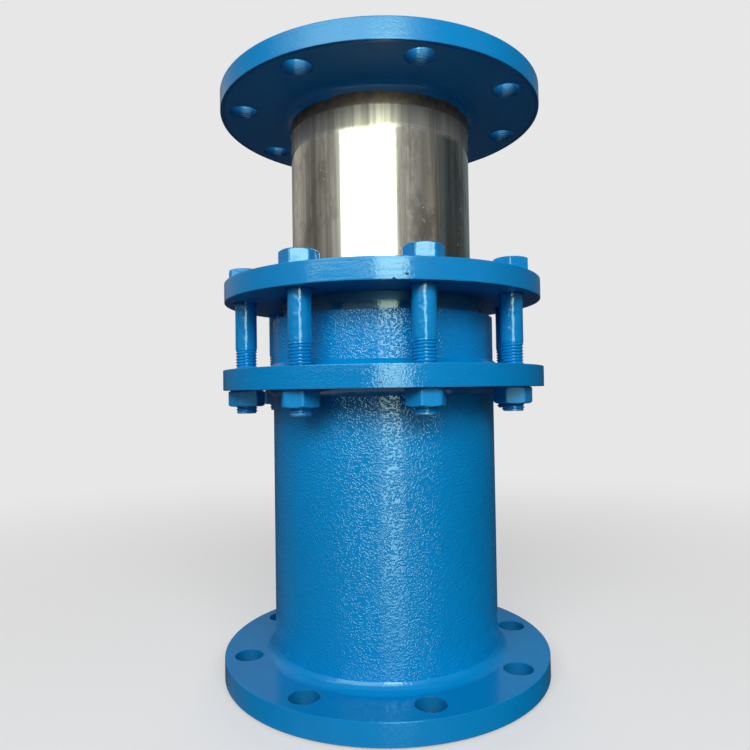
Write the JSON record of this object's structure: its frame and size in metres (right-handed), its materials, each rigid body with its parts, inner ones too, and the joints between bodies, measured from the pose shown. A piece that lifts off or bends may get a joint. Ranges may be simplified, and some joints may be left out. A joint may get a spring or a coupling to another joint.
{
  "type": "sleeve expansion joint",
  "caption": "Gland-packed pipe expansion joint: a polished sleeve slides in a wider casing, with a drilled flange at each end and long bolts that press the packing.",
  "frame": {"origin": "centre of the casing flange's sealing face, which is the underside of the part", "axes": "+Z along the pipe from the casing to the sliding sleeve; the bolt holes straddle X and Y"},
  "size_m": [0.28, 0.28, 0.5],
  "materials": {
    "blue_paint": "gloss",
    "polished_sleeve": "polished",
    "bare_steel": "satin",
    "graphite_packing": "matte"
  },
  "bodies": {
    "casing": {"casing_tube": "blue_paint", "casing_flange": "blue_paint", "casing_flange_weld": "blue_paint", "stuffing_box_flange": "blue_paint", "stuffing_box_lower_weld": "blue_paint", "stuffing_box_upper_weld": "blue_paint", "packing_seat_ring": "bare_steel", "packing_seat_weld": "bare_steel", "packing_ring_1": "graphite_packing", "packing_ring_2": "graphite_packing", "packing_ring_3": "graphite_packing", "packing_ring_4": "graphite_packing", "packing_ring_5": "graphite_packing", "packing_ring_6": "graphite_packing"},
    "sleeve": {"sleeve_tube": "polished_sleeve", "sleeve_flange": "blue_paint", "sleeve_flange_weld": "blue_paint", "sleeve_face_weld": "bare_steel", "stop_ring": "bare_steel", "stop_ring_weld": "bare_steel"},
    "gland": {"gland_flange": "blue_paint", "gland_pusher": "blue_paint", "gland_weld": "blue_paint", "gland_bolt_1": "blue_paint", "gland_bolt_2": "blue_paint", "gland_bolt_3": "blue_paint", "gland_bolt_4": "blue_paint", "gland_bolt_5": "blue_paint", "gland_bolt_6": "blue_paint", "gland_bolt_7": "blue_paint", "gland_bolt_8": "blue_paint"},
    "gland_nut_1": {"gland_nut_1": "blue_paint"},
    "gland_nut_2": {"gland_nut_2": "blue_paint"},
    "gland_nut_3": {"gland_nut_3": "blue_paint"},
    "gland_nut_4": {"gland_nut_4": "blue_paint"},
    "gland_nut_5": {"gland_nut_5": "blue_paint"},
    "gland_nut_6": {"gland_nut_6": "blue_paint"},
    "gland_nut_7": {"gland_nut_7": "blue_paint"},
    "gland_nut_8": {"gland_nut_8": "blue_paint"}
  },
  "joints": [
    {"name": "sleeve_slide", "type": "slide", "parent": "casing", "child": "sleeve", "axis": [0, 0, 1], "range_m": [-0.12, 0.027]},
    {"name": "gland_slide", "type": "slide", "parent": "casing", "child": "gland", "axis": [0, 0, 1], "range_m": [-0.012, 0.005], "deforming": ["packing_ring_1", "packing_ring_2", "packing_ring_3", "packing_ring_4", "packing_ring_5", "packing_ring_6"]},
    {"name": "gland_nut_1_spin", "type": "hinge", "parent": "casing", "child": "gland_nut_1", "pos_m": [-0.04592, -0.11087, 0.23565], "axis": [0, 0, 1], "range_deg": [-724, 1732]},
    {"name": "gland_nut_2_spin", "type": "hinge", "parent": "casing", "child": "gland_nut_2", "pos_m": [0.04592, -0.11087, 0.23565], "axis": [0, 0, 1], "range_deg": [-724, 1732]},
    {"name": "gland_nut_3_spin", "type": "hinge", "parent": "casing", "child": "gland_nut_3", "pos_m": [0.11087, -0.04592, 0.23565], "axis": [0, 0, 1], "range_deg": [-724, 1732]},
    {"name": "gland_nut_4_spin", "type": "hinge", "parent": "casing", "child": "gland_nut_4", "pos_m": [0.11087, 0.04592, 0.23565], "axis": [0, 0, 1], "range_deg": [-724, 1732]},
    {"name": "gland_nut_5_spin", "type": "hinge", "parent": "casing", "child": "gland_nut_5", "pos_m": [0.04592, 0.11087, 0.23565], "axis": [0, 0, 1], "range_deg": [-724, 1732]},
    {"name": "gland_nut_6_spin", "type": "hinge", "parent": "casing", "child": "gland_nut_6", "pos_m": [-0.04592, 0.11087, 0.23565], "axis": [0, 0, 1], "range_deg": [-724, 1732]},
    {"name": "gland_nut_7_spin", "type": "hinge", "parent": "casing", "child": "gland_nut_7", "pos_m": [-0.11087, 0.04592, 0.23565], "axis": [0, 0, 1], "range_deg": [-724, 1732]},
    {"name": "gland_nut_8_spin", "type": "hinge", "parent": "casing", "child": "gland_nut_8", "pos_m": [-0.11087, -0.04592, 0.23565], "axis": [0, 0, 1], "range_deg": [-724, 1732]}
  ],
  "couplings": [
    {"joint": "gland_nut_1_spin", "follows": "gland_slide", "rad_per_m": -2513.3},
    {"joint": "gland_nut_2_spin", "follows": "gland_slide", "rad_per_m": -2513.3},
    {"joint": "gland_nut_3_spin", "follows": "gland_slide", "rad_per_m": -2513.3},
    {"joint": "gland_nut_4_spin", "follows": "gland_slide", "rad_per_m": -2513.3},
    {"joint": "gland_nut_5_spin", "follows": "gland_slide", "rad_per_m": -2513.3},
    {"joint": "gland_nut_6_spin", "follows": "gland_slide", "rad_per_m": -2513.3},
    {"joint": "gland_nut_7_spin", "follows": "gland_slide", "rad_per_m": -2513.3},
    {"joint": "gland_nut_8_spin", "follows": "gland_slide", "rad_per_m": -2513.3}
  ]
}
